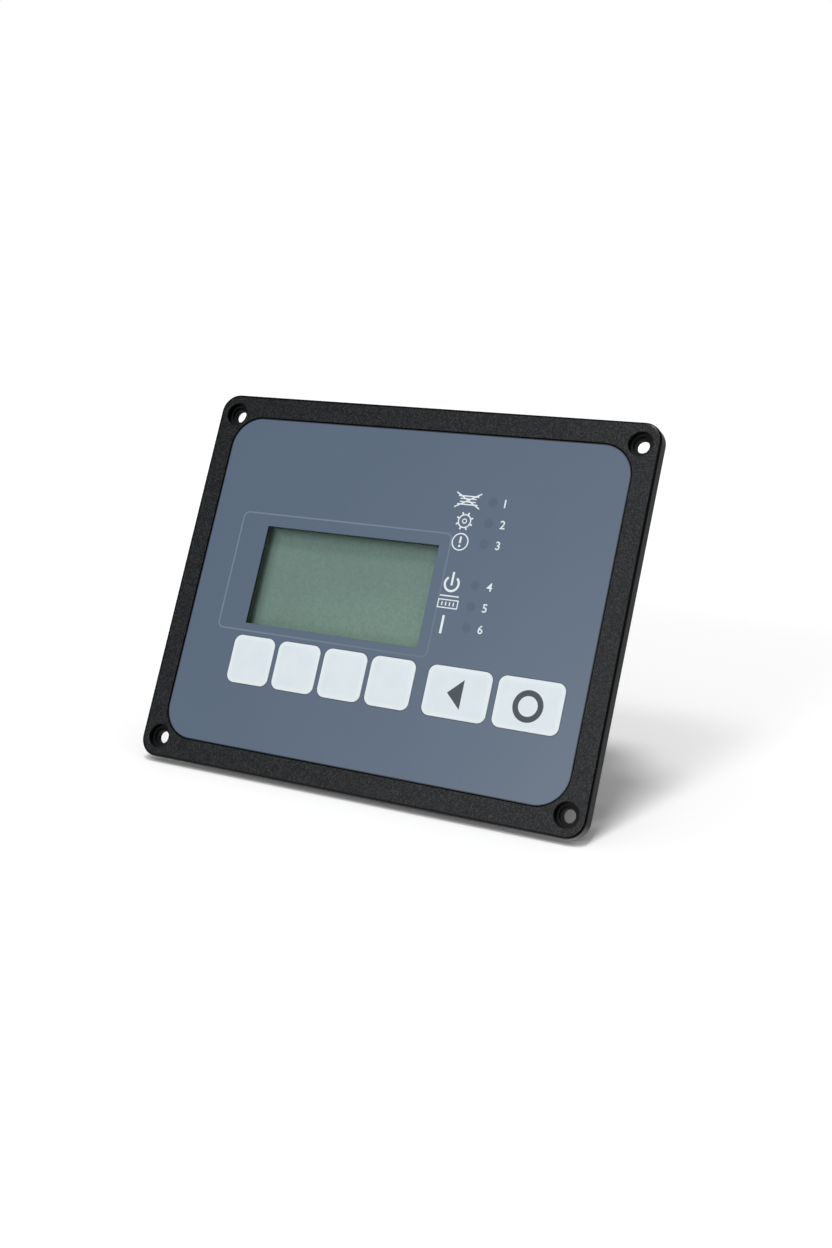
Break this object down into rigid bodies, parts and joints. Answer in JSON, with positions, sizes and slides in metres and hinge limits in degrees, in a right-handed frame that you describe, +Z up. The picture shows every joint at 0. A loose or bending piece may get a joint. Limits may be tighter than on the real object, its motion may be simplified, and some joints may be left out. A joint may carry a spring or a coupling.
{
  "type": "generator control display",
  "caption": "Flush-mounted control display for a generator set: flanged black housing, printed keypad film with press keys, a display window and status lights.",
  "frame": {"origin": "centre of the four-hole screw pattern, in the plane of the flange's rear face", "axes": "upright as fitted in a panel: +X to the viewer's right, +Z up, front face looking along -Y, housing behind the flange along +Y"},
  "size_m": [0.175, 0.0364, 0.14],
  "materials": {
    "black_moulding": "fine-textured black moulding",
    "overlay_print": "satin blue-grey printed film",
    "key_white": "satin white print",
    "layer_sheet": "plain sheet",
    "circuit_green": "solder mask",
    "clear_pane": "clear hard-coated pane",
    "display_can": "black stamped frame",
    "display_glass": "grey-green display glass",
    "light_guide": "milky light guide",
    "screw_steel": "zinc-plated",
    "dome_steel": "spring steel",
    "light_pipe": "clear moulding",
    "lamp_body": "white package with clear lens",
    "chip_black": "moulded package",
    "choke_ferrite": "ferrite",
    "capacitor_can": "sleeved can",
    "header_cream": "natural nylon",
    "header_green": "green moulding",
    "header_black": "black moulding",
    "contact_gold": "plated",
    "contact_tin": "tinned",
    "insert_brass": "knurled",
    "seal_rubber": "closed-cell foam"
  },
  "bodies": {
    "housing": {"bezel_frame": "black_moulding", "panel_gasket": "seal_rubber", "overlay_film": "overlay_print", "keypad_spacer": "layer_sheet", "keypad_circuit": "circuit_green", "snap_domes": "dome_steel", "display_pane": "clear_pane", "lcd_frame": "display_can", "lcd_glass": "display_glass", "lcd_backlight": "light_guide", "lcd_board": "circuit_green", "lcd_screws": "screw_steel", "board_header": "header_black", "light_pipes": "light_pipe", "status_lamps": "lamp_body", "display_drivers": "chip_black", "crystal_can": "screw_steel", "main_board": "circuit_green", "board_screws": "screw_steel", "tail_socket": "header_cream", "processor": "chip_black", "driver_chips": "chip_black", "power_choke": "choke_ferrite", "supply_capacitors": "capacitor_can", "harness_header": "header_cream", "harness_pins": "contact_gold", "terminal_header": "header_green", "terminal_pins": "contact_tin", "thread_inserts": "insert_brass", "rear_cover": "black_moulding", "cover_seal": "seal_rubber", "cover_screws": "screw_steel"},
    "soft_key_1": {"soft_key_1": "key_white"},
    "soft_key_2": {"soft_key_2": "key_white"},
    "soft_key_3": {"soft_key_3": "key_white"},
    "soft_key_4": {"soft_key_4": "key_white"},
    "back_key": {"back_key": "key_white"},
    "stop_key": {"stop_key": "key_white"}
  },
  "joints": [
    {"name": "soft_key_1_press", "type": "slide", "parent": "housing", "child": "soft_key_1", "axis": [0, 1, 0], "range_m": [0, 0.0003], "stiffness_N_per_m": 10000},
    {"name": "soft_key_2_press", "type": "slide", "parent": "housing", "child": "soft_key_2", "axis": [0, 1, 0], "range_m": [0, 0.0003], "stiffness_N_per_m": 10000},
    {"name": "soft_key_3_press", "type": "slide", "parent": "housing", "child": "soft_key_3", "axis": [0, 1, 0], "range_m": [0, 0.0003], "stiffness_N_per_m": 10000},
    {"name": "soft_key_4_press", "type": "slide", "parent": "housing", "child": "soft_key_4", "axis": [0, 1, 0], "range_m": [0, 0.0003], "stiffness_N_per_m": 10000},
    {"name": "back_key_press", "type": "slide", "parent": "housing", "child": "back_key", "axis": [0, 1, 0], "range_m": [0, 0.0003], "stiffness_N_per_m": 10000},
    {"name": "stop_key_press", "type": "slide", "parent": "housing", "child": "stop_key", "axis": [0, 1, 0], "range_m": [0, 0.0003], "stiffness_N_per_m": 10000}
  ]
}
